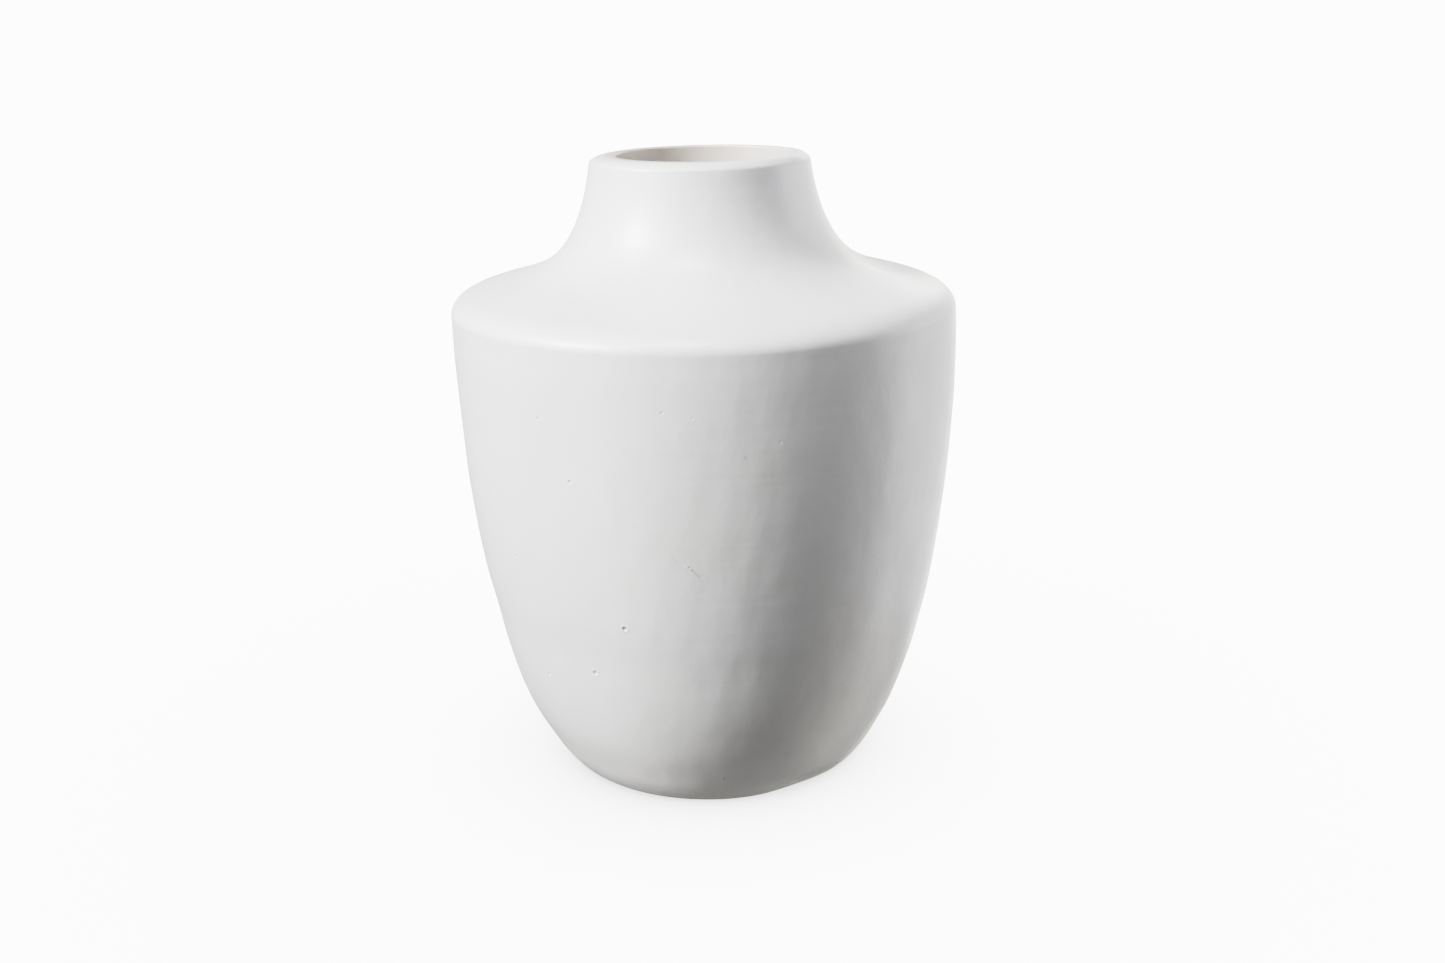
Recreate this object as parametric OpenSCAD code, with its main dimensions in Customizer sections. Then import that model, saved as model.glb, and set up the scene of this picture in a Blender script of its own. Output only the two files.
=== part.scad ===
// Bud vase: one fired clay body, a satin glaze outside and a liner glaze inside.
// The origin is on the axis of turning, on the surface that the vase stands on, with +Z up.
// The outlines are drawn as half sections, with x the radius and y the height, and turned.

/* [Body] */
// Largest diameter, over the glaze at the shoulder
body_d = 100; // [92:1:112]
// Full height, from the foot to the top of the lip
height = 124; // [121:1:140]
// Height of the widest ring above the foot
widest_h = 94.5; // [86:0.5:97]
// Share of its rise over which the wall keeps the direction it leaves the foot in
foot_pull = 0.23; // [0.15:0.01:0.3]
// Share of its rise over which the wall is already upright below the widest ring
wall_pull = 0.35; // [0.2:0.01:0.5]

/* [Shoulder] */
// Width of the rounded edge between the wall and the shoulder
edge_w = 8.5; // [6:0.5:11]
// Height of the rounded edge between the wall and the shoulder
edge_h = 4.8; // [3:0.2:7]
// Slope of the shoulder where it leaves the rounded edge, in degrees
shoulder_slope = 16.5; // [10:0.5:24]
// Share of the shoulder's width over which it keeps that slope
shoulder_pull = 0.55; // [0.3:0.01:0.7]

/* [Neck and lip] */
// Diameter of the neck just under the lip
neck_d = 43.5; // [43:0.5:50]
// Inward lean of the neck just under the lip, in degrees
neck_lean = 8.5; // [3:0.5:14]
// Share of the neck's height over which it keeps that lean
neck_pull = 0.83; // [0.5:0.01:0.9]
// Inner diameter of the mouth and throat
mouth_d = 34; // [28:0.5:34.5]
// Rounding of the lip's outer edge
lip_round = 2.6; // [1:0.1:2.8]
// Rounding of the lip's inner edge
mouth_round = 0.8; // [0.7:0.1:1.2]

/* [Foot] */
// Outer diameter of the flat foot ring that the vase stands on
foot_d = 58; // [46:1:66]
// Rounding between the foot ring and the wall
foot_round = 3.5; // [2:0.5:5]
// Angle of the wall to the floor where it leaves that rounding, in degrees
foot_turn = 48; // [40:1:58]
// Width of the flat foot ring
ring_w = 5; // [3:0.5:8]
// Depth of the recess inside the foot ring
recess_depth = 1.5; // [0.8:0.1:2.5]

/* [Wall and glaze] */
// Thickness of the wall and of the floor, glaze included
wall_t = 4.5; // [4:0.1:5.5]
// Thickness of each layer of glaze
glaze_t = 0.35; // [0.2:0.05:0.5]
// How far the outer glaze runs down inside the mouth
dip_depth = 9; // [5:0.5:10]

/* [Hidden] */
$fn = 128;

body_r = body_d / 2;
foot_r = foot_d / 2;
mouth_r = mouth_d / 2;
ring_inner_r = foot_r - ring_w;

// number of straight steps in each stretch of the outline
foot_steps = 4;
wall_steps = 20;
edge_steps = 10;
shoulder_steps = 16;
lip_steps = 7;
mouth_steps = 4;

// the neck ends where the rounding of the lip begins
neck_end = [neck_d / 2, height - lip_round * (1 - sin(neck_lean))];

// the cavity follows the outside at the thickness of the wall, with softer corners
floor_h = recess_depth + wall_t;
floor_round = 2 * wall_t;
floor_r = foot_r - 1.15 * wall_t;
cavity_r = body_r - wall_t;
cavity_widest_h = widest_h - 0.75 * wall_t;
cavity_neck_end = [mouth_r, height - dip_depth];
cavity_foot_pull = 0.87 * foot_pull;
cavity_edge_w = 0.8 * edge_w;
cavity_shoulder_pull = shoulder_pull;
cavity_neck_pull = 0.6 * neck_pull;

function heading(a) = [cos(a), sin(a)];

function arc(centre, r, from, to, steps) =
    [for (i = [0 : steps]) centre + r * heading(from + (to - from) * i / steps)];

// a cubic curve, without its first point, which the stretch before it already has
function curve(a, a_hand, b_hand, b, steps) =
    [for (i = [1 : steps])
        let (t = i / steps, s = 1 - t)
        s * s * s * a + 3 * s * s * t * a_hand + 3 * s * t * t * b_hand + t * t * t * b];

// the rounding that turns a level line at p upwards by foot_turn
function heel(p, r) = arc(p + [0, r], r, -90, foot_turn - 90, foot_steps);

// from the end of the heel up the wall to the widest ring
function wall(start, wide, pull) =
    let (rise = wide.y - start.y)
    curve(start, start + pull * rise * heading(foot_turn),
        wide - [0, wall_pull * rise], wide, wall_steps);

// from the widest ring over the rounded edge, up to where the slope of the shoulder is reached
function edge(wide, w, h) =
    let (last = atan2(h, w * tan(shoulder_slope)))
    [for (i = [1 : edge_steps])
        let (a = last * i / edge_steps)
        wide + [w * (cos(a) - 1), h * sin(a)]];

// from the rounded edge over the shoulder and up the neck
function shoulder(start, end, lean, pull, end_pull) =
    curve(start, start + pull * (start.x - end.x) * heading(180 - shoulder_slope),
        end - end_pull * (end.y - start.y) * heading(90 + lean), end, shoulder_steps);

// from the neck over the lip and down inside the mouth, as far as the outer glaze runs
function lip() =
    let (mouth_x = mouth_r + mouth_round)
    concat(
        arc(neck_end - lip_round * heading(neck_lean), lip_round, neck_lean, 90, lip_steps),
        arc([mouth_x, height - mouth_round], mouth_round, 90, 180, mouth_steps),
        [[mouth_r, height - dip_depth]]);

function last(line) = line[len(line) - 1];

function tail(line) = [for (i = [1 : len(line) - 1]) line[i]];

function head(line) = [for (i = [0 : len(line) - 2]) line[i]];

function backwards(line) = [for (i = [len(line) - 1 : -1 : 0]) line[i]];

function unit(v) = v / norm(v);

// unit vector along the line at point i, halfway between the steps that meet there
function along(line, i) =
    let (before = max(i, 1), after = min(i + 1, len(line) - 1))
    unit(unit(line[before] - line[before - 1]) + unit(line[after] - line[after - 1]));

// the same line moved sideways, to its left where the distance is positive
function beside(line, distance) =
    [for (i = [0 : len(line) - 1])
        let (d = along(line, i))
        line[i] + distance * [-d.y, d.x]];

heel_line = heel([foot_r, 0], foot_round);
wall_line = wall(last(heel_line), [body_r, widest_h], foot_pull);
edge_line = edge([body_r, widest_h], edge_w, edge_h);
shoulder_line = shoulder(last(edge_line), neck_end, neck_lean, shoulder_pull, neck_pull);

// surface of the outer glaze, from the top of the bare heel to the end of the dip in the mouth
glazed_line = concat([last(heel_line)], wall_line, edge_line, shoulder_line, tail(lip()));

floor_line = heel([floor_r, floor_h], floor_round);
cavity_wall_line = wall(last(floor_line), [cavity_r, cavity_widest_h], cavity_foot_pull);
cavity_edge_line = edge([cavity_r, cavity_widest_h], cavity_edge_w, edge_h);
cavity_shoulder_line =
    shoulder(last(cavity_edge_line), cavity_neck_end, 0, cavity_shoulder_pull, cavity_neck_pull);

// surface of the liner glaze, from the middle of the floor to the throat
cavity_line =
    concat([[0, floor_h]], floor_line, cavity_wall_line, cavity_edge_line, cavity_shoulder_line);

// surfaces of the clay under the two glazes, which meet in the throat
clay_line = beside(glazed_line, glaze_t);
clay_cavity_line = concat(head(beside(cavity_line, -glaze_t)), [last(clay_line)]);

// The fired clay, bare on the foot ring, the heel and the recess under the floor
module clay_body() {
    recess = [[0, recess_depth], [ring_inner_r - recess_depth, recess_depth], [ring_inner_r, 0]];
    color("ivory")
        rotate_extrude()
            polygon(concat(recess, heel_line, head(clay_line), backwards(clay_cavity_line)));
}

// The satin glaze over the wall, the shoulder, the neck and the lip
module outer_glaze() {
    color("white")
        rotate_extrude()
            polygon(concat(glazed_line, backwards(clay_line)));
}

// The watertight glaze on the floor and the walls of the cavity
module liner_glaze() {
    color("whitesmoke")
        rotate_extrude()
            polygon(concat(cavity_line, backwards(clay_cavity_line)));
}

clay_body();
outer_glaze();
liner_glaze();
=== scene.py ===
import math

import bmesh
import bpy
import numpy as np
from mathutils import Matrix, Vector, noise


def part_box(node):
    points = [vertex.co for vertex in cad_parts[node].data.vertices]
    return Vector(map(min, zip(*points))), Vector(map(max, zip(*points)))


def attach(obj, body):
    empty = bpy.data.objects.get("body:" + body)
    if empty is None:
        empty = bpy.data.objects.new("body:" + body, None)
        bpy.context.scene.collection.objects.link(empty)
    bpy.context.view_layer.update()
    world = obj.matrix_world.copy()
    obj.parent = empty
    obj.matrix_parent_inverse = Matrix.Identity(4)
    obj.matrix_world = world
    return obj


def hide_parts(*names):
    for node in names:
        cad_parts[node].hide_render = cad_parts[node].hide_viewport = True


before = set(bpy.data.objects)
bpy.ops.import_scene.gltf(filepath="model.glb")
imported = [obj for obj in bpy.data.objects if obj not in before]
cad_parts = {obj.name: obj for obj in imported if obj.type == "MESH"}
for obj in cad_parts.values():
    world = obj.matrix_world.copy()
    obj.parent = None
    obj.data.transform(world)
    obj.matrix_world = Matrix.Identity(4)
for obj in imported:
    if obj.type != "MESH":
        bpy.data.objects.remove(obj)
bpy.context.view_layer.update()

# ---------------------------------------------------------------- sizes, in millimetres and degrees
# Shapes are worked out in millimetres, and scaled to metres where a mesh is made.
MM = 0.001

# The outline repeats the design's driving sizes. The diameter and the height are read from the outer glaze in
# model.glb.
GLAZE_LOW, GLAZE_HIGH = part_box("outer_glaze")
BODY_R = (GLAZE_HIGH.x - GLAZE_LOW.x) / 2 / MM
HEIGHT = GLAZE_HIGH.z / MM
WIDEST_H = 94.5
EDGE_W = 8.5
EDGE_H = 4.8
SHOULDER_SLOPE = 16.5
NECK_R = 21.75
NECK_LEAN = 8.5
LIP_H = 1.5
LIP_CORNER = 1
LIP_BREAK = 45
MOUTH_R = 17
MOUTH_ROUND = 0.4
MOUTH_FLARE = 0.5
MOUTH_SHIFT = 0.9
DIP_DEPTH = 9
FOOT_R = 29
FOOT_ROUND = 3.5
FOOT_TURN = 48
GLAZE_FROM = 12
RING_W = 5
RECESS_DEPTH = 1.5
WALL_T = 4.5
GLAZE_T = 0.35

# How far each curve runs straight before it bends, as a share of its rise or reach
FOOT_PULL = 0.23
WALL_PULL = 0.35
SHOULDER_PULL = 0.55
NECK_PULL = 0.83

# ---------------------------------------------------------------- how fine the meshes are
SEGMENTS = 288
SHOWN_STEP, SHOWN_TURN = 1.15, 5
BARE_STEP = 0.6
HIDDEN_STEP, HIDDEN_TURN = 5, 12
MARK_CUTS = 5
OUTLINE_STEPS = 400

# ---------------------------------------------------------------- marks in the glaze
# Angles go round from the front, positive to the right. A stain of 1 is the full brown of iron.
# Each spot: angle, height, width, depth, stain.
SPOTS = [
    (-20, 43, 1.1, 0.34, 0.4),
    (-4.5, 56.2, 0.5, 0.16, 0.3),
    (-9, 85, 0.7, 0.12, 0.25),
    (-3, 84, 0.6, 0.08, 0),
    (-37, 82, 0.8, 0.24, 0.3),
    (-30, 71, 0.9, 0.26, 0.2),
    (-30, 32, 1.2, 0.26, 0.1),
    (-47, 28, 1.0, 0.22, 0.1),
    (-50, 53, 0.8, 0.16, 0),
    (14.5, 79, 0.7, 0.04, 0),
    (3, 8, 0.9, 0.12, 0.1),
    (7.5, 76.6, 0.8, 0.01, 0.45),
    (-15.5, 64, 0.8, 0.02, 0.3),
    (62, 48, 0.7, 0.01, 0.7),
    (141, 71, 0.8, 0.01, 0.6),
    (-118, 36, 0.7, 0.01, 0.8),
]
# Each scratch: first angle and height, last angle and height, width, depth, stain.
SCRATCHES = [
    (-4.0, 55.8, -2.2, 54.2, 0.38, 0.06, 0.7),
    (-8.2, 59.0, -7.0, 57.2, 0.35, 0.03, 0.5),
]
SEEDED_PITS = 16


# ---------------------------------------------------------------- what the hand and the kiln left
# Slow swellings and sideways leanings of the outline: amount, middle height and half width.
SWELLS = [(0.14, 66, 20), (-0.12, 33, 6), (-0.15, 95, 4), (-0.35, 104, 4), (-0.2, 8, 3.5)]
SWAYS = [(0.16, 76, 12), (0.15, 36, 5), (-0.2, 17, 6), (-0.2, 99, 4)]
OVAL = 0.0012
NECK_SHRINK = 0.15
NECK_SHIFT = -0.22
DENT_DEPTH = 1.4
DENT_ANGLE, DENT_SPREAD = 32, 14
# Slow and fine runs in the glaze: amount, size and seed.
RUNS = [(0.05, 17, 1), (0.04, 7, 2), (0.05, 3.4, 10)]
RUN_STRETCH = 0.5
# Faint rings from turning: amount, size and seed.
RINGS = [(0.006, 3.2, 3), (0.008, 7, 4)]


# ---------------------------------------------------------------- outlines
def heading(degrees):
    """Unit step (outwards, upwards) at this angle above level."""
    return np.array([math.cos(math.radians(degrees)), math.sin(math.radians(degrees))])


def arc(centre, radius, start, end):
    """Points along an arc, between two angles in degrees."""
    angles = np.radians(np.linspace(start, end, OUTLINE_STEPS + 1))
    return np.asarray(centre) + radius * np.stack([np.cos(angles), np.sin(angles)], axis=1)


def curve(a, a_hand, b_hand, b):
    """Points along a cubic curve from a to b."""
    t = np.linspace(0, 1, OUTLINE_STEPS + 1)[:, None]
    s = 1 - t
    return s**3 * a + 3 * s**2 * t * a_hand + 3 * s * t**2 * b_hand + t**3 * b


def heel(corner, radius, start=0):
    """The rounding that turns a level line upwards, from this many degrees above level."""
    return arc(corner + np.array([0, radius]), radius, start - 90, FOOT_TURN - 90)


def wall(start, wide, pull):
    """From the end of the heel up the wall to the widest ring."""
    rise = wide[1] - start[1]
    start_hand = start + pull * rise * heading(FOOT_TURN)
    return curve(start, start_hand, wide - np.array([0, WALL_PULL * rise]), wide)


def edge(wide, width, height):
    """From the widest ring over the rounded edge, up to where the slope of the shoulder is reached."""
    last = math.atan2(height, width * math.tan(math.radians(SHOULDER_SLOPE)))
    angles = np.linspace(0, last, OUTLINE_STEPS + 1)
    return wide + np.stack([width * (np.cos(angles) - 1), height * np.sin(angles)], axis=1)


def shoulder(start, end, lean, pull, end_pull):
    """From the rounded edge over the shoulder and up the neck."""
    start_hand = start + pull * (start[0] - end[0]) * heading(180 - SHOULDER_SLOPE)
    end_hand = end - end_pull * (end[1] - start[1]) * heading(90 + lean)
    return curve(start, start_hand, end_hand, end)


def joined(*stretches):
    """One line from several that meet end to end, without the repeated points."""
    line = np.concatenate(stretches)
    moved = np.linalg.norm(np.diff(line, axis=0), axis=1) > 1e-6
    return line[np.concatenate([[True], moved])]


def glazed_line():
    """Surface of the outer glaze, from its edge low on the heel to the end of the dip in the mouth."""
    low = heel(np.array([FOOT_R, 0]), FOOT_ROUND, GLAZE_FROM)
    side = wall(low[-1], np.array([BODY_R, WIDEST_H]), FOOT_PULL)
    rim = edge(side[-1], EDGE_W, EDGE_H)
    neck_end = np.array([NECK_R, HEIGHT - LIP_H])
    neck = shoulder(rim[-1], neck_end, NECK_LEAN, SHOULDER_PULL, NECK_PULL)
    corner = arc(neck_end - LIP_CORNER * heading(NECK_LEAN), LIP_CORNER, NECK_LEAN, LIP_BREAK)
    crown_round = (HEIGHT - corner[-1][1]) / (1 - heading(LIP_BREAK)[1])
    lip = arc(corner[-1] - crown_round * heading(LIP_BREAK), crown_round, LIP_BREAK, 90)
    flared_r = MOUTH_R + MOUTH_FLARE
    mouth = arc((flared_r + MOUTH_ROUND, HEIGHT - MOUTH_ROUND), MOUTH_ROUND, 90, 180)
    throat = np.linspace((flared_r, HEIGHT - MOUTH_ROUND), (MOUTH_R, HEIGHT - DIP_DEPTH), OUTLINE_STEPS)
    return joined(low, side, rim, neck, corner, lip, mouth, throat)


def cavity_line():
    """Surface of the liner glaze, from the middle of the floor to the end of the dip in the mouth."""
    floor_h = RECESS_DEPTH + WALL_T
    floor_r = FOOT_R - 1.15 * WALL_T
    floor = np.stack([np.linspace(0, floor_r, OUTLINE_STEPS), np.full(OUTLINE_STEPS, floor_h)], axis=1)
    foot = heel(floor[-1], 2 * WALL_T)
    side = wall(foot[-1], np.array([BODY_R - WALL_T, WIDEST_H - 0.75 * WALL_T]), 0.87 * FOOT_PULL)
    rim = edge(side[-1], 0.8 * EDGE_W, EDGE_H)
    end = np.array([MOUTH_R, HEIGHT - DIP_DEPTH])
    neck = shoulder(rim[-1], end, 0, SHOULDER_PULL, 0.6 * NECK_PULL)
    return joined(floor, foot, side, rim, neck)


def reach_along(line):
    """Distance of each point from the start of the line."""
    return np.concatenate([[0], np.cumsum(np.linalg.norm(np.diff(line, axis=0), axis=1))])


def stations(line, longest, sharpest):
    """Distances along the line, closer together where it turns."""
    step = np.diff(line, axis=0)
    direction = np.unwrap(np.arctan2(step[:, 1], step[:, 0]))
    turning = np.abs(np.diff(direction, append=direction[-1]))
    effort = np.linalg.norm(step, axis=1) / longest + turning / math.radians(sharpest)
    total = np.concatenate([[0], np.cumsum(effort)])
    wanted = np.linspace(0, total[-1], math.ceil(total[-1]) + 1)
    return np.interp(wanted, total, reach_along(line))


def at(line, s):
    """Points this far along the line, which runs straight on past its ends."""
    reach = reach_along(line)
    point = np.stack([np.interp(s, reach, line[:, 0]), np.interp(s, reach, line[:, 1])], axis=-1)
    first = (line[1] - line[0]) / reach[1]
    last = (line[-1] - line[-2]) / (reach[-1] - reach[-2])
    return point + np.minimum(s, 0)[..., None] * first + np.maximum(s - reach[-1], 0)[..., None] * last


def right_of(line, s):
    """Unit vectors that point to the right of the line as it runs."""
    ahead = at(line, s + 0.05) - at(line, s - 0.05)
    ahead /= np.linalg.norm(ahead, axis=-1, keepdims=True)
    return np.stack([ahead[..., 1], -ahead[..., 0]], axis=-1)


def beside(line, distance):
    """The same line moved sideways, to its right where the distance is positive."""
    return line + distance * right_of(line, reach_along(line))


GLAZED_LINE = glazed_line()
CAVITY_LINE = cavity_line()


def bare_line():
    """Surface of the bare clay, from the middle of the recess over the foot ring to the edge of the glaze."""
    ring_r = FOOT_R - RING_W
    corner_reach = 0.6
    heel_reach = 1.2
    corners = np.array([(0, RECESS_DEPTH), (ring_r - RECESS_DEPTH, RECESS_DEPTH), (ring_r, 0), (FOOT_R, 0)])
    line = [corners[:1]]
    for before, corner, after in zip(corners, corners[1:], corners[2:]):
        into = (corner - before) / np.linalg.norm(corner - before)
        away = (after - corner) / np.linalg.norm(after - corner)
        line.append(curve(corner - corner_reach * into, corner, corner, corner + corner_reach * away))
    heel_start = corners[-1] - (heel_reach, 0)
    heel_end = beside(GLAZED_LINE, -GLAZE_T)[0]
    start_hand = heel_start + (0.8 * heel_reach, 0)
    return joined(*line, curve(heel_start, start_hand, heel_end - 0.5 * heading(2 * GLAZE_FROM), heel_end))


# ---------------------------------------------------------------- small irregularities
def smooth(x):
    """0 below 0, 1 above 1, with a soft change between."""
    x = np.clip(x, 0, 1)
    return x * x * (3 - 2 * x)


def hill(x):
    """A soft bump of height 1 at 0, gone by about 2."""
    return np.exp(-x * x)


def noise_at(points, size, seed):
    """Smooth noise of about -1 to 1, with features of this size."""
    shift = Vector((seed * 17.3, seed * 5.9, seed * 11.7))
    return np.array([noise.noise(Vector(p) / size + shift) for p in points])


def angle_between(a, b):
    """Difference of two angles in radians, between -pi and pi."""
    return (a - b + math.pi) % (2 * math.pi) - math.pi


def hand_made(points):
    """Points of an ideal turned shape, as the maker's hand and the kiln left it."""
    angle = np.arctan2(points[:, 0], -points[:, 1])
    radius = np.hypot(points[:, 0], points[:, 1])
    height = points[:, 2]
    oval = OVAL * np.cos(2 * angle + 0.7) * smooth(height / 60)
    swell = sum(amount * hill((height - middle) / reach) for amount, middle, reach in SWELLS)
    swell -= NECK_SHRINK * smooth((height - WIDEST_H - 2.5) / 6)
    sway = sum(amount * hill((height - middle) / reach) for amount, middle, reach in SWAYS)
    # one side of the heel was pressed a little flat when the vase was set down wet
    off_dent = angle_between(angle, math.radians(DENT_ANGLE)) / math.radians(DENT_SPREAD)
    pressed = -DENT_DEPTH * hill(off_dent) * smooth((radius - 20) / 8) * hill((height - 2) / 2.1)
    stretch = 1 + oval + (swell + pressed) / np.maximum(radius, 1)
    off_centre = sway * smooth(radius / 20) + NECK_SHIFT * smooth((height - 85) / 30)
    off_centre += MOUTH_SHIFT * smooth((height - 108) / 12) * smooth((21.5 - radius) / 3.5)
    scale = np.stack([stretch, stretch, np.ones(len(points))], axis=1)
    return points * scale + off_centre[:, None] * (1, 0, 0)


def pit_shape(distance):
    """A round pit with a faint raised rim, by the distance from its middle in half widths."""
    return 0.22 * hill((distance - 1.15) / 0.28) - hill(distance / 0.62)


def distance_from(points, start, end):
    """Distance of each point from the straight line between two points."""
    way = end - start
    share = np.clip((points - start) @ way / max(way @ way, 1e-9), 0, 1)
    return np.linalg.norm(points - start - share[:, None] * way, axis=1)


# ---------------------------------------------------------------- turned bodies
def turned(section, angle):
    """Points in space from points (radius, height) of the half section. Angle 0 is the front."""
    return np.stack([section[:, 0] * np.sin(angle), -section[:, 0] * np.cos(angle), section[:, 1]], axis=1)


class Body:
    """A closed body turned from a line, made as a flat sheet of quads that is then rolled up.

    Each row of the sheet is a distance along the line and a depth beneath it. Each column is an angle."""

    def __init__(self, name, line, rows, segments):
        self.name = name
        self.line = line
        self.rows = np.array(rows, float)
        self.segments = segments
        self.sheet = bmesh.new()
        grid = [[self.sheet.verts.new((x, y, 0)) for x in range(segments + 1)] for y in range(len(rows))]
        for low, high in zip(grid, grid[1:]):
            for x in range(segments):
                self.sheet.faces.new((low[x], low[x + 1], high[x + 1], high[x]))

    def read(self, flat):
        """Angle, distance and depth at points of the sheet. The seam is at the back."""
        angle = 2 * math.pi * flat[:, 0] / self.segments - math.pi
        count = np.arange(len(self.rows))
        distance, depth = (np.interp(flat[:, 1], count, column) for column in self.rows.T)
        return angle, distance, depth

    def refine(self, wanted):
        """Splits the quads whose angle, distance and depth are wanted into finer ones."""
        self.sheet.faces.ensure_lookup_table()
        middles = np.array([face.calc_center_median()[:2] for face in self.sheet.faces])
        chosen = np.nonzero(wanted(*self.read(middles)))[0]
        edges = dict.fromkeys(edge for index in chosen for edge in self.sheet.faces[index].edges)
        bmesh.ops.subdivide_edges(self.sheet, edges=list(edges), cuts=MARK_CUTS, use_grid_fill=True)

    def roll_up(self, slide, relief):
        """Makes the object. slide moves distances along the line, and relief raises the face out of it."""
        angle, s, depth = self.read(np.array([vert.co[:2] for vert in self.sheet.verts]))
        s = slide(angle, s)
        section = at(self.line, s)
        raised = relief(s, turned(section, angle)) * (depth == 0)
        points = hand_made(turned(section + (raised - depth)[:, None] * right_of(self.line, s), angle))
        for vert, point in zip(self.sheet.verts, points * MM):
            vert.co = point
        bmesh.ops.remove_doubles(self.sheet, verts=self.sheet.verts, dist=0.002 * MM)
        bmesh.ops.recalc_face_normals(self.sheet, faces=self.sheet.faces)
        data = bpy.data.meshes.new(self.name)
        self.sheet.to_mesh(data)
        self.sheet.free()
        data.shade_smooth()
        piece = bpy.data.objects.new(self.name, data)
        bpy.context.scene.collection.objects.link(piece)
        return piece


def unmoved(angle, s):
    return s


# ---------------------------------------------------------------- the glaze outside
def glaze_point(angle, height):
    """The point of the ideal glazed face at an angle in degrees and a height."""
    top = int(np.argmax(GLAZED_LINE[:, 1]))
    radius = np.interp(height, GLAZED_LINE[:top, 1], GLAZED_LINE[:top, 0])
    return turned(np.array([[radius, height]]), math.radians(angle))[0]


def all_marks():
    """Start point, end point, width, depth and stain of every mark. Seeded pits cover the sides and back."""
    marks = []
    for a, h, width, depth, stain in SPOTS:
        marks.append((glaze_point(a, h), glaze_point(a, h), width, depth, stain))
    for a, h, end_a, end_h, width, depth, stain in SCRATCHES:
        marks.append((glaze_point(a, h), glaze_point(end_a, end_h), width, depth, stain))
    draw = np.random.default_rng(11)
    for _ in range(SEEDED_PITS):
        angle = draw.uniform(60, 172) * draw.choice([-1, 1])
        spot = glaze_point(angle, draw.uniform(8, 115))
        marks.append((spot, spot, draw.uniform(0.5, 0.9), draw.uniform(0.05, 0.12), 0))
    return marks


def coat_rows(line, thickness):
    """Rows round a coat: a rounded bead at its first edge, along its face, and home beneath it."""
    turns = np.linspace(0, math.pi, 8)
    bead = [(-0.5 * thickness * math.sin(a), 0.5 * thickness * (1 + math.cos(a))) for a in turns]
    face = [(s, 0) for s in stations(line, SHOWN_STEP, SHOWN_TURN)[1:]]
    beneath = [(s, thickness) for s in stations(line, HIDDEN_STEP, HIDDEN_TURN)[::-1]]
    return bead + face + beneath


def make_glaze_coat():
    marks = all_marks()
    length = reach_along(GLAZED_LINE)[-1]
    body = Body("glaze_coat", GLAZED_LINE, coat_rows(GLAZED_LINE, GLAZE_T), SEGMENTS)

    def near_marks(angle, s, depth):
        points = turned(at(GLAZED_LINE, s), angle)
        near = [distance_from(points, start, end) < 0.9 * width + 0.5 for start, end, width, _, _ in marks]
        return np.any(near, axis=0) & (depth == 0)

    def creep(angle, s):
        """The edge of the glaze stops at different heights round the heel."""
        round_foot = turned(np.tile((float(FOOT_R), 0.0), (len(angle), 1)), angle)
        return s + (0.35 + 0.3 * noise_at(round_foot, 9, 5)) * (1 - smooth((s + GLAZE_T) / 4))

    def relief(s, points):
        runs = points * (1, 1, RUN_STRETCH)
        slow_turn = points * (0.03, 0.03, 1)
        total = sum(amount * noise_at(runs, size, seed) for amount, size, seed in RUNS)
        total *= 1 - 0.4 * smooth((points[:, 2] - WIDEST_H) / 10)
        total += sum(amount * noise_at(slow_turn, size, seed) for amount, size, seed in RINGS)
        total *= smooth(s / 3) * smooth((length - s) / 3)
        for start, end, width, depth, _ in marks:
            total += depth * pit_shape(distance_from(points, start, end) / (width / 2))
        return total

    body.refine(near_marks)
    piece = body.roll_up(creep, relief)
    add_stains(piece, marks)
    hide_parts("outer_glaze")
    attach(piece, "root")
    return piece


def add_stains(piece, marks):
    """Writes how brown each point is, for the material to read."""
    points = np.array([vert.co for vert in piece.data.vertices]) / MM
    stain = np.zeros(len(points))
    for start, end, width, _, strength in marks:
        if strength > 0:
            stain = np.maximum(stain, strength * hill(distance_from(points, start, end) / (0.4 * width)))
    piece.data.attributes.new("stain", "FLOAT", "POINT").data.foreach_set("value", stain)


# ---------------------------------------------------------------- the fired clay
def make_fired_body():
    bare = bare_line()
    covered = beside(GLAZED_LINE, -GLAZE_T)
    lined = beside(CAVITY_LINE, GLAZE_T)
    line = joined(bare, covered, lined[-2::-1])
    bare_end = reach_along(bare)[-1]
    shown = stations(bare, BARE_STEP, SHOWN_TURN)
    hidden = bare_end + stations(joined(bare[-1:], covered, lined[-2::-1]), HIDDEN_STEP, HIDDEN_TURN)
    body = Body("fired_body", line, [(s, 0) for s in np.concatenate([shown, hidden[1:]])], SEGMENTS)

    def relief(s, points):
        """Grooves of the turning tool in the recess, and the grain of the clay. Nothing stands proud."""
        radius = np.hypot(points[:, 0], points[:, 1])
        groove = 0.03 * (1 + np.cos(2 * math.pi * radius / 1.4 + np.arctan2(points[:, 1], points[:, 0])))
        in_recess = smooth((points[:, 2] - 0.7 * RECESS_DEPTH) / 0.3) * smooth(radius / 3)
        grain = 0.02 * (1 + noise_at(points, 1.3, 6)) + 0.012 * (1 + noise_at(points, 0.7, 7))
        return -(groove * in_recess + grain) * smooth((bare_end - s) / 1.5)

    piece = body.roll_up(unmoved, relief)
    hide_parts("clay_body")
    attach(piece, "root")
    return piece


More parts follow.
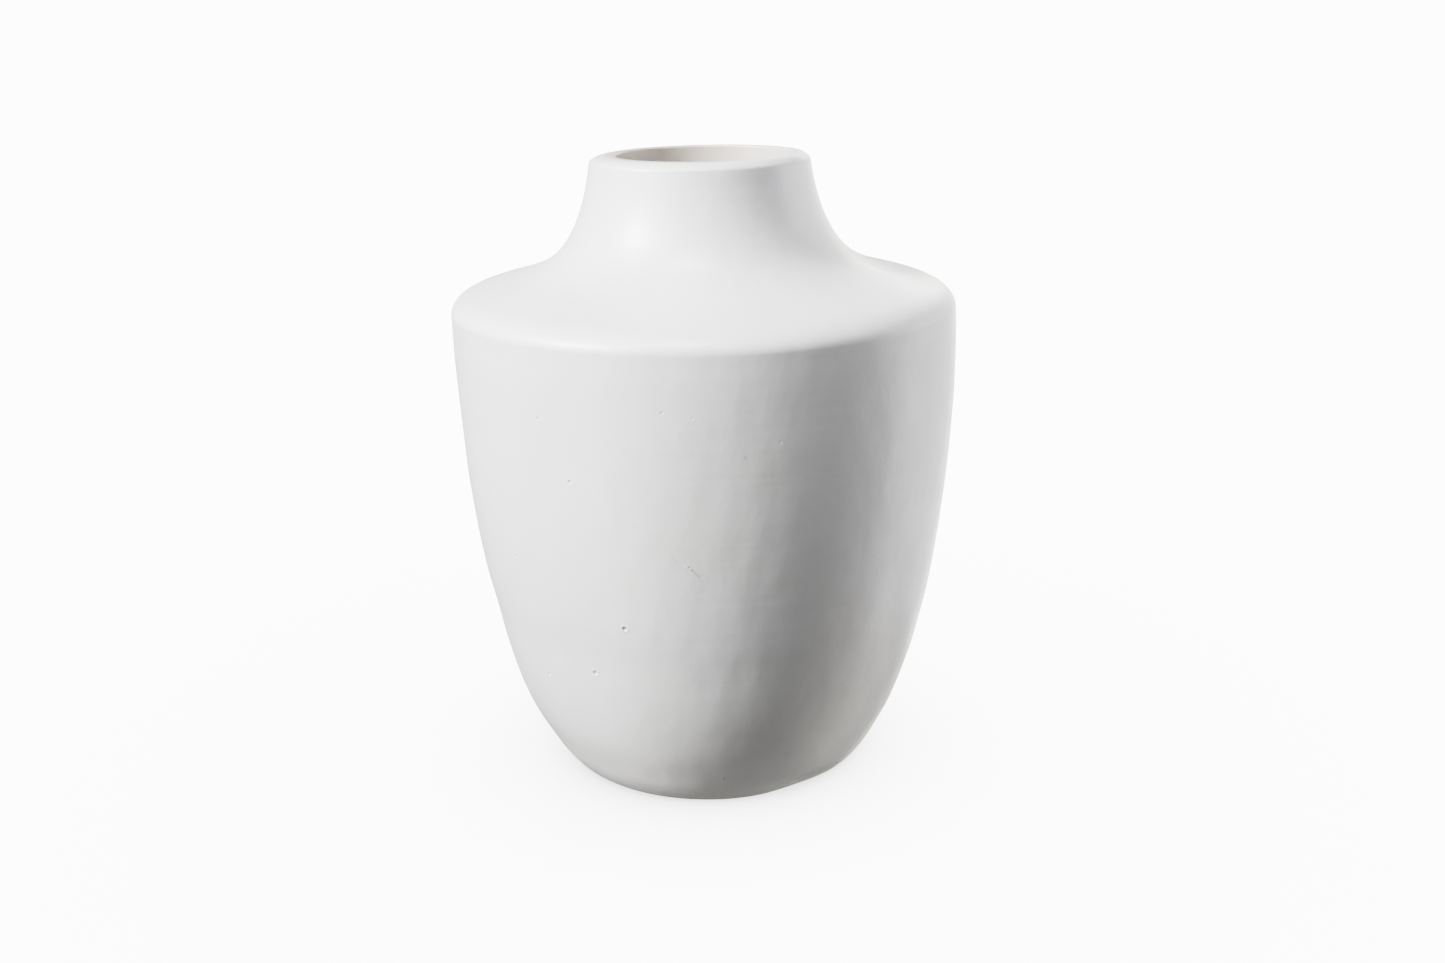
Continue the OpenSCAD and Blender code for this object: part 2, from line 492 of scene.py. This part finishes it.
# ---------------------------------------------------------------- the liner glaze
def make_liner_coat():
    back = CAVITY_LINE[::-1]
    length = reach_along(back)[-1]
    face = [(s, 0) for s in stations(back, 1.6 * SHOWN_STEP, 1.6 * SHOWN_TURN)[::-1]]
    beneath = [(s, GLAZE_T) for s in stations(back, HIDDEN_STEP, HIDDEN_TURN)]
    body = Body("liner_coat", back, face + beneath, SEGMENTS)

    def relief(s, points):
        soft = 0.03 * noise_at(points, 16, 8) + 0.01 * noise_at(points, 5, 9)
        return soft * smooth(s / 3) * smooth((length - s) / 3)

    piece = body.roll_up(unmoved, relief)
    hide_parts("liner_glaze")
    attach(piece, "root")
    return piece


glaze_coat = make_glaze_coat()
fired_body = make_fired_body()
liner_coat = make_liner_coat()


# ---------------------------------------------------------------- materials
class Nodes:
    """A new material and its node tree, with short ways to add nodes. Places are in metres."""

    def __init__(self, name):
        self.material = bpy.data.materials.new(name)
        self.material.use_nodes = True
        self.tree = self.material.node_tree
        self.shader = self.tree.nodes["Principled BSDF"]
        self.place = self.tree.nodes.new("ShaderNodeTexCoord").outputs["Object"]

    def add(self, kind, **inputs):
        """A node with its inputs set to numbers or joined to other nodes."""
        new = self.tree.nodes.new("ShaderNode" + kind)
        for name, value in inputs.items():
            self.put(new.inputs[name.replace("_", " ")], value)
        return new

    def put(self, socket, value):
        if isinstance(value, bpy.types.NodeSocket):
            self.tree.links.new(value, socket)
        else:
            socket.default_value = value

    def squeezed(self, x, y, z):
        """The place, stretched so that a texture changes this much faster along each axis."""
        return self.add("Mapping", Vector=self.place, Scale=(x, y, z)).outputs["Vector"]

    def grain(self, size, detail=2.0, vector=None):
        """Noise with features of this many millimetres."""
        where = vector or self.place
        return self.add("TexNoise", Vector=where, Scale=1 / (size * MM), Detail=detail).outputs["Fac"]

    def ramp(self, value, low, high, from_value=0.0, to_value=1.0):
        """A number that goes from from_value to to_value as value goes from low to high."""
        span = {"From_Min": low, "From_Max": high, "To_Min": from_value, "To_Max": to_value}
        return self.add("MapRange", Value=value, **span).outputs["Result"]

    def blend(self, share, a, b):
        """A colour between two colours."""
        new = self.tree.nodes.new("ShaderNodeMix")
        new.data_type = "RGBA"
        self.put(new.inputs["Factor"], share)
        for socket, colour in ((new.inputs[6], a), (new.inputs[7], b)):
            self.put(socket, colour if isinstance(colour, bpy.types.NodeSocket) else (*colour, 1))
        return new.outputs[2]

    def bumps(self, *layers):
        """Fine relief from several heights, each with its full depth in millimetres."""
        normal = None
        for height, depth in layers:
            new = self.add("Bump", Height=height, Distance=depth * MM)
            if normal:
                self.put(new.inputs["Normal"], normal)
            normal = new.outputs["Normal"]
        self.put(self.shader.inputs["Normal"], normal)


def satin_glaze():
    """Opaque white glaze, matt to the touch: faint mottling, soft sheen, fine runs and turning lines, and
    painted shade inside the throat.
    """
    nodes = Nodes("satin_glaze")
    cloud = nodes.ramp(nodes.grain(26, 3.0), 0.35, 0.65)
    white = nodes.blend(cloud, (0.815, 0.812, 0.802), (0.835, 0.837, 0.838))
    from_axis = nodes.add("VectorMath", Vector=nodes.squeezed(1, 1, 0))
    from_axis.operation = "LENGTH"
    # Inside the throat the white turns darker and warmer: painted shade and painted warm bounce light of the
    # mouth's inside.
    throat = nodes.ramp(from_axis.outputs["Value"], 19 * MM, 17.6 * MM)
    painted_throat_shade = nodes.blend(throat, white, (0.68, 0.62, 0.57))
    dust = nodes.ramp(nodes.grain(0.9, 1.0), 0.70, 0.80)
    dust_and_throat_shade = nodes.blend(dust, painted_throat_shade, (0.805, 0.80, 0.79))
    stain = nodes.add("Attribute")
    stain.attribute_name = "stain"
    stains_and_throat_shade = nodes.blend(stain.outputs["Fac"], dust_and_throat_shade, (0.36, 0.28, 0.18))
    nodes.put(nodes.shader.inputs["Base Color"], stains_and_throat_shade)
    sheen = nodes.ramp(nodes.grain(6, 2.0), 0.3, 0.7, 0.42, 0.50)
    nodes.put(nodes.shader.inputs["Roughness"], sheen)
    nodes.put(nodes.shader.inputs["Specular IOR Level"], 0.8)
    nodes.put(nodes.shader.inputs["Coat Weight"], 0.18)
    nodes.put(nodes.shader.inputs["Coat Roughness"], 0.2)
    turning_lines = nodes.grain(60, 3.0, nodes.squeezed(1, 1, 45))
    fine_runs = nodes.grain(2.2, 2.0, nodes.squeezed(1, 1, 0.5))
    nodes.bumps((turning_lines, 0.03), (fine_runs, 0.045), (nodes.grain(0.5, 1.0), 0.011))
    return nodes.material


def fired_clay():
    """Bare stoneware on the foot: pale buff, dry, with dark and light grog."""
    nodes = Nodes("fired_clay")
    body = nodes.blend(nodes.ramp(nodes.grain(7, 3.0), 0.35, 0.65), (0.68, 0.61, 0.51), (0.76, 0.70, 0.61))
    grog = nodes.blend(nodes.ramp(nodes.grain(0.6, 2.0), 0.62, 0.72), body, (0.52, 0.43, 0.33))
    pale = nodes.blend(nodes.ramp(nodes.grain(0.8, 2.0), 0.30, 0.38), (0.84, 0.80, 0.73), grog)
    nodes.put(nodes.shader.inputs["Base Color"], pale)
    nodes.put(nodes.shader.inputs["Roughness"], nodes.ramp(nodes.grain(2, 2.0), 0.3, 0.7, 0.78, 0.92))
    nodes.bumps((nodes.grain(0.9, 3.0), 0.06), (nodes.grain(0.3, 2.0), 0.02))
    return nodes.material


def liner_glaze():
    """Off-white liner glaze poured round the inside: glossier, with slow ripples and fine crawl."""
    nodes = Nodes("liner_glaze")
    white = nodes.blend(nodes.ramp(nodes.grain(18, 2.0), 0.35, 0.65), (0.67, 0.61, 0.54), (0.72, 0.67, 0.61))
    nodes.put(nodes.shader.inputs["Base Color"], white)
    nodes.put(nodes.shader.inputs["Roughness"], nodes.ramp(nodes.grain(8, 2.0), 0.3, 0.7, 0.14, 0.24))
    nodes.bumps((nodes.grain(9, 2.0), 0.08), (nodes.grain(1.8, 2.0), 0.012))
    return nodes.material


for piece, material in ((glaze_coat, satin_glaze()), (fired_body, fired_clay()), (liner_coat, liner_glaze())):
    piece.data.materials.append(material)


# ---------------------------------------------------------------- floor, lights and camera
def make_stage():
    """A pale floor that curves up into a wall all round. Only the camera sees it.

    It glows evenly, with a painted contact shadow: a little less close to where the vase stands."""
    floor_r, bend_r, wall_h, segments = 2.4, 1.2, 2.5, 96
    bend = arc((floor_r, bend_r), bend_r, -90, 0)[:: OUTLINE_STEPS // 16]
    profile = np.concatenate([[(0.001, 0)], [(0.4, 0)], bend, [(floor_r + bend_r, wall_h)]])
    mesh = bmesh.new()
    rings = []
    for r, z in profile:
        angles = np.linspace(0, 2 * math.pi, segments, endpoint=False)
        rings.append([mesh.verts.new((r * math.cos(a), r * math.sin(a), z)) for a in angles])
    for low, high in zip(rings, rings[1:]):
        for k in range(segments):
            n = (k + 1) % segments
            mesh.faces.new((low[k], low[n], high[n], high[k]))
    mesh.faces.new(rings[0][::-1])
    bmesh.ops.recalc_face_normals(mesh, faces=mesh.faces)
    bmesh.ops.reverse_faces(mesh, faces=mesh.faces)
    data = bpy.data.meshes.new("stage")
    mesh.to_mesh(data)
    mesh.free()
    data.shade_smooth()
    stage = bpy.data.objects.new("stage", data)
    bpy.context.scene.collection.objects.link(stage)
    nodes = Nodes("pale_stage")
    # Painted contact shadow: the floor glows less where the vase is close by.
    contact_shadow_ao = nodes.add("AmbientOcclusion", Distance=0.12).outputs["AO"]
    glow_with_painted_shadow = nodes.ramp(contact_shadow_ao, 0.2, 1, 1.2, 6.5)
    nodes.put(nodes.shader.inputs["Base Color"], (0, 0, 0, 1))
    nodes.put(nodes.shader.inputs["Specular IOR Level"], 0)
    nodes.put(nodes.shader.inputs["Emission Color"], (1, 1, 1, 1))
    nodes.put(nodes.shader.inputs["Emission Strength"], glow_with_painted_shadow)
    data.materials.append(nodes.material)
    stage.visible_diffuse = False
    stage.visible_glossy = False
    stage.visible_shadow = False


# Where the camera stands, in metres, how it is turned, in radians, and its lens, in millimetres
CAMERA_PLACE = (0, -0.300, 0.1505)
CAMERA_PITCH, CAMERA_YAW, CAMERA_ROLL = 0.30176, 0.00965, -0.02102
CAMERA_LENS = 37.78


def make_camera():
    data = bpy.data.cameras.new("camera")
    data.sensor_width = 36
    data.lens = CAMERA_LENS
    eye = bpy.data.objects.new("camera", data)
    bpy.context.scene.collection.objects.link(eye)
    pitch, yaw, roll = CAMERA_PITCH, CAMERA_YAW, CAMERA_ROLL
    right = Vector((math.cos(yaw), -math.sin(yaw), 0))
    ahead = Vector((math.cos(pitch) * math.sin(yaw), math.cos(pitch) * math.cos(yaw), -math.sin(pitch)))
    up = right.cross(ahead)
    turned_right = math.cos(roll) * right + math.sin(roll) * up
    turned_up = math.cos(roll) * up - math.sin(roll) * right
    rotation = Matrix((turned_right, turned_up, -ahead)).transposed()
    eye.matrix_world = Matrix.Translation(CAMERA_PLACE) @ rotation.to_4x4()
    bpy.context.scene.camera = eye


LIGHT_REACH = 1.2
LIGHT_AIM = Vector((0, 0, 0.065))


def softbox(name, azimuth, elevation, width, height, power, colour):
    """A soft rectangular light that faces the vase, with its size in metres and its power in watts.

    Azimuth 0 is the camera's side, positive to the right, and elevation is above level, both in degrees."""
    data = bpy.data.lights.new(name, "AREA")
    data.shape = "RECTANGLE"
    data.size = width
    data.size_y = height
    data.energy = power
    data.color = colour
    lamp = bpy.data.objects.new(name, data)
    a, e = math.radians(azimuth), math.radians(elevation)
    away = Vector((math.sin(a) * math.cos(e), -math.cos(a) * math.cos(e), math.sin(e)))
    lamp.location = LIGHT_AIM + LIGHT_REACH * away
    lamp.rotation_euler = away.to_track_quat("Z", "Y").to_euler()
    lamp.visible_camera = False
    bpy.context.scene.collection.objects.link(lamp)


def make_lights():
    softbox("key", -66, 35, 0.3, 0.3, 28.8, (1, 1, 1))
    softbox("overhead", -20, 68, 0.42, 0.42, 9.1, (0.98, 0.98, 1))
    softbox("right_strip", 99, -5, 0.4, 1.4, 7.6, (0.94, 0.95, 1))
    softbox("back_panel", 137, 0, 1.35, 1.4, 12.2, (1, 0.995, 0.985))
    softbox("back_strip", 158, -10, 0.35, 1.4, 2.8, (1, 0.94, 0.78))
    softbox("far_line", 166, 15.5, 0.42, 0.05, 1.1, (1, 1, 1))
    softbox("low_bounce", -46, -28, 0.6, 0.5, 3, (1, 0.98, 0.97))
    softbox("floor_bounce", -85, -62, 0.6, 0.6, 1.5, (1, 0.97, 0.92))
    softbox("warm_bounce", 104, -46, 0.6, 0.6, 1.5, (1, 0.9, 0.72))
    world = bpy.data.worlds.new("world")
    world.use_nodes = True
    world.node_tree.nodes["Background"].inputs["Color"].default_value = (0, 0, 0, 1)
    bpy.context.scene.world = world
    bpy.context.scene.view_settings.view_transform = "Filmic"
    bpy.context.scene.view_settings.look = "High Contrast"


make_stage()
make_camera()
make_lights()
